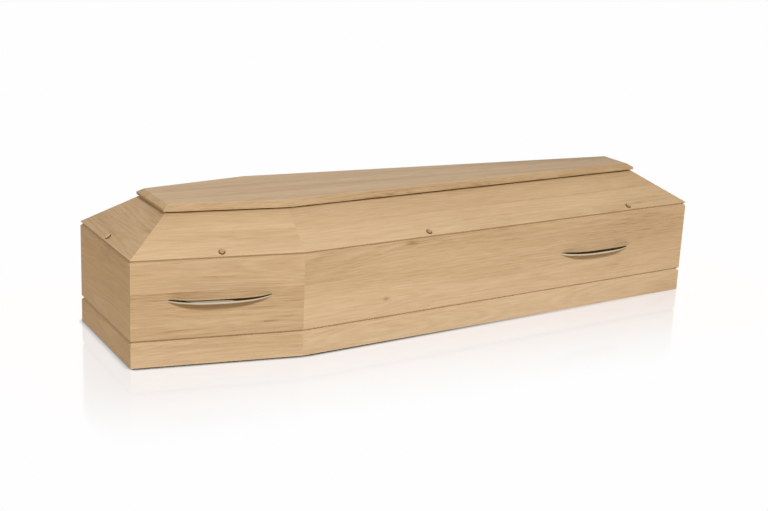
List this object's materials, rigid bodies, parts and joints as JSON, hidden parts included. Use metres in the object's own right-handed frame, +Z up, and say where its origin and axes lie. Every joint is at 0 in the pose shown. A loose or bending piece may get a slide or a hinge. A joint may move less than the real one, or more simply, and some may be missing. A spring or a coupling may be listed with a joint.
{
  "type": "coffin",
  "caption": "Six-sided wooden coffin with a shoulder, a plinth, a raised lid of sloping boards under a flat top board, bow handles on the sides and domed lid screws.",
  "frame": {"origin": "on the ground under the middle of the outline, at the bottom centre of the bounding box", "axes": "+X along the length from the head end to the foot end, +Y to the left side as seen from the head end, +Z up"},
  "size_m": [1.9, 0.6092, 0.4115],
  "materials": {
    "oak": "pale oak with a satin clear varnish, grain along each board",
    "chrome": "polished chrome plate",
    "brass": "aged brass, slightly brown"
  },
  "bodies": {
    "root": {"plinth_right_head": "oak", "body_right_head": "oak", "lid_slope_right_head": "oak", "plinth_right_foot": "oak", "body_right_foot": "oak", "lid_slope_right_foot": "oak", "plinth_foot": "oak", "body_foot": "oak", "lid_slope_foot": "oak", "plinth_left_foot": "oak", "body_left_foot": "oak", "lid_slope_left_foot": "oak", "plinth_left_head": "oak", "body_left_head": "oak", "lid_slope_left_head": "oak", "plinth_head": "oak", "body_head": "oak", "lid_slope_head": "oak", "floor_board": "oak", "lid_top_board": "oak", "lid_screw_right_head": "brass", "lid_screw_left_head": "brass", "lid_screw_right_foot_1": "brass", "lid_screw_right_foot_2": "brass", "lid_screw_left_foot_1": "brass", "lid_screw_left_foot_2": "brass", "lid_screw_head": "brass", "lid_screw_foot": "brass", "handle_right_head": "chrome", "handle_right_foot": "chrome", "handle_left_foot": "chrome", "handle_left_head": "chrome"}
  },
  "joints": []
}
